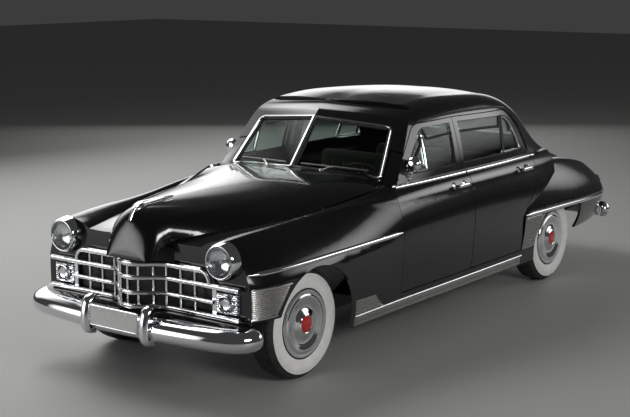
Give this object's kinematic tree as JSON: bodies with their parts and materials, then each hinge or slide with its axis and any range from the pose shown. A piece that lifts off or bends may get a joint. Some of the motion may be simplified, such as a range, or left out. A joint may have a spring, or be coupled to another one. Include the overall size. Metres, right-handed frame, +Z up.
{
  "type": "sedan",
  "caption": "Full-size American sedan of about 1950, black with chrome grille, bumpers and wheel covers; its doors, bonnet, boot lid, steering and wheels move.",
  "frame": {"origin": "on the ground under the middle of the car's box", "axes": "+X forward, +Y to the car's left, +Z up"},
  "size_m": [5.4302, 1.9042, 1.6463],
  "materials": {
    "black_paint": "gloss",
    "chrome": "polished",
    "glass": "clear",
    "lamp_glass": "fluted",
    "red_lens": "gloss",
    "tyre_rubber": "matt, with a wide white wall",
    "upholstery": "woven cloth",
    "trim_dark": "satin",
    "chassis_steel": "matt",
    "engine_iron": "cast"
  },
  "bodies": {
    "body": {"roof": "black_paint", "cowl": "black_paint", "sills": "black_paint", "quarters": "black_paint", "rear_body": "black_paint", "floor_pan": "chassis_steel", "front_fenders": "black_paint", "rear_fenders": "black_paint", "radiator": "chassis_steel", "grille": "chrome", "front_bumper": "chrome", "rear_bumper": "chrome", "headlamp_rims": "chrome", "headlamp_lenses": "lamp_glass", "parking_lamps": "chrome", "tail_lamps": "red_lens", "windscreen": "glass", "rear_window": "glass", "front_seat": "upholstery", "rear_seat": "upholstery", "dashboard": "trim_dark", "chassis_frame": "chassis_steel", "engine": "engine_iron", "driveline": "chassis_steel", "front_suspension": "chassis_steel", "exhaust": "chassis_steel", "fuel_tank": "chassis_steel"},
    "hood": {"hood": "black_paint", "hood_ornament": "chrome"},
    "trunk_lid": {"trunk_lid": "black_paint"},
    "door_front_left": {"door_front_left": "black_paint", "glass_front_left": "glass"},
    "door_front_right": {"door_front_right": "black_paint", "glass_front_right": "glass"},
    "door_rear_left": {"door_rear_left": "black_paint", "glass_rear_left": "glass"},
    "door_rear_right": {"door_rear_right": "black_paint", "glass_rear_right": "glass"},
    "knuckle_left": {"knuckle_left": "chassis_steel"},
    "knuckle_right": {"knuckle_right": "chassis_steel"},
    "steering_wheel": {"steering_wheel": "trim_dark"},
    "wheel_front_left": {"tyre_front_left": "tyre_rubber", "wheel_front_left": "chrome"},
    "wheel_front_right": {"tyre_front_right": "tyre_rubber", "wheel_front_right": "chrome"},
    "wheel_rear_left": {"tyre_rear_left": "tyre_rubber", "wheel_rear_left": "chrome"},
    "wheel_rear_right": {"tyre_rear_right": "tyre_rubber", "wheel_rear_right": "chrome"}
  },
  "joints": [
    {"name": "door_front_left_hinge", "type": "hinge", "parent": "body", "child": "door_front_left", "pos_m": [0.8855, 0.9445, 0.75], "axis": [0, 0, -1], "range_deg": [0, 65]},
    {"name": "door_rear_left_hinge", "type": "hinge", "parent": "body", "child": "door_rear_left", "pos_m": [-0.0595, 0.9515, 0.75], "axis": [0, 0, -1], "range_deg": [0, 65]},
    {"name": "door_front_right_hinge", "type": "hinge", "parent": "body", "child": "door_front_right", "pos_m": [0.8855, -0.9445, 0.75], "axis": [0, 0, 1], "range_deg": [0, 65]},
    {"name": "door_rear_right_hinge", "type": "hinge", "parent": "body", "child": "door_rear_right", "pos_m": [-0.0595, -0.9515, 0.75], "axis": [0, 0, 1], "range_deg": [0, 65]},
    {"name": "hood_hinge", "type": "hinge", "parent": "body", "child": "hood", "pos_m": [0.88, 0, 1.165], "axis": [0, -1, 0], "range_deg": [0, 45]},
    {"name": "trunk_lid_hinge", "type": "hinge", "parent": "body", "child": "trunk_lid", "pos_m": [-1.736, 0, 1.1], "axis": [0, 1, 0], "range_deg": [0, 55]},
    {"name": "steer_left", "type": "hinge", "parent": "body", "child": "knuckle_left", "pos_m": [1.845, 0.664, 0.355], "axis": [0, 0, 1], "range_deg": [-32, 32]},
    {"name": "steer_right", "type": "hinge", "parent": "body", "child": "knuckle_right", "pos_m": [1.845, -0.664, 0.355], "axis": [0, 0, 1], "range_deg": [-32, 32]},
    {"name": "steering_wheel_turn", "type": "hinge", "parent": "body", "child": "steering_wheel", "pos_m": [0.52, 0.38, 0.99], "axis": [-0.8829, 0, 0.4695], "range_deg": [-640, 640]},
    {"name": "wheel_front_left_spin", "type": "hinge", "parent": "knuckle_left", "child": "wheel_front_left", "pos_m": [1.845, 0.724, 0.355], "axis": [0, 1, 0], "continuous": true},
    {"name": "wheel_front_right_spin", "type": "hinge", "parent": "knuckle_right", "child": "wheel_front_right", "pos_m": [1.845, -0.724, 0.355], "axis": [0, 1, 0], "continuous": true},
    {"name": "wheel_rear_left_spin", "type": "hinge", "parent": "body", "child": "wheel_rear_left", "pos_m": [-1.495, 0.745, 0.355], "axis": [0, 1, 0], "continuous": true},
    {"name": "wheel_rear_right_spin", "type": "hinge", "parent": "body", "child": "wheel_rear_right", "pos_m": [-1.495, -0.745, 0.355], "axis": [0, 1, 0], "continuous": true}
  ],
  "couplings": [
    {"joint": "steer_right", "follows": "steer_left", "ratio": 1},
    {"joint": "steering_wheel_turn", "follows": "steer_left", "ratio": 18}
  ]
}
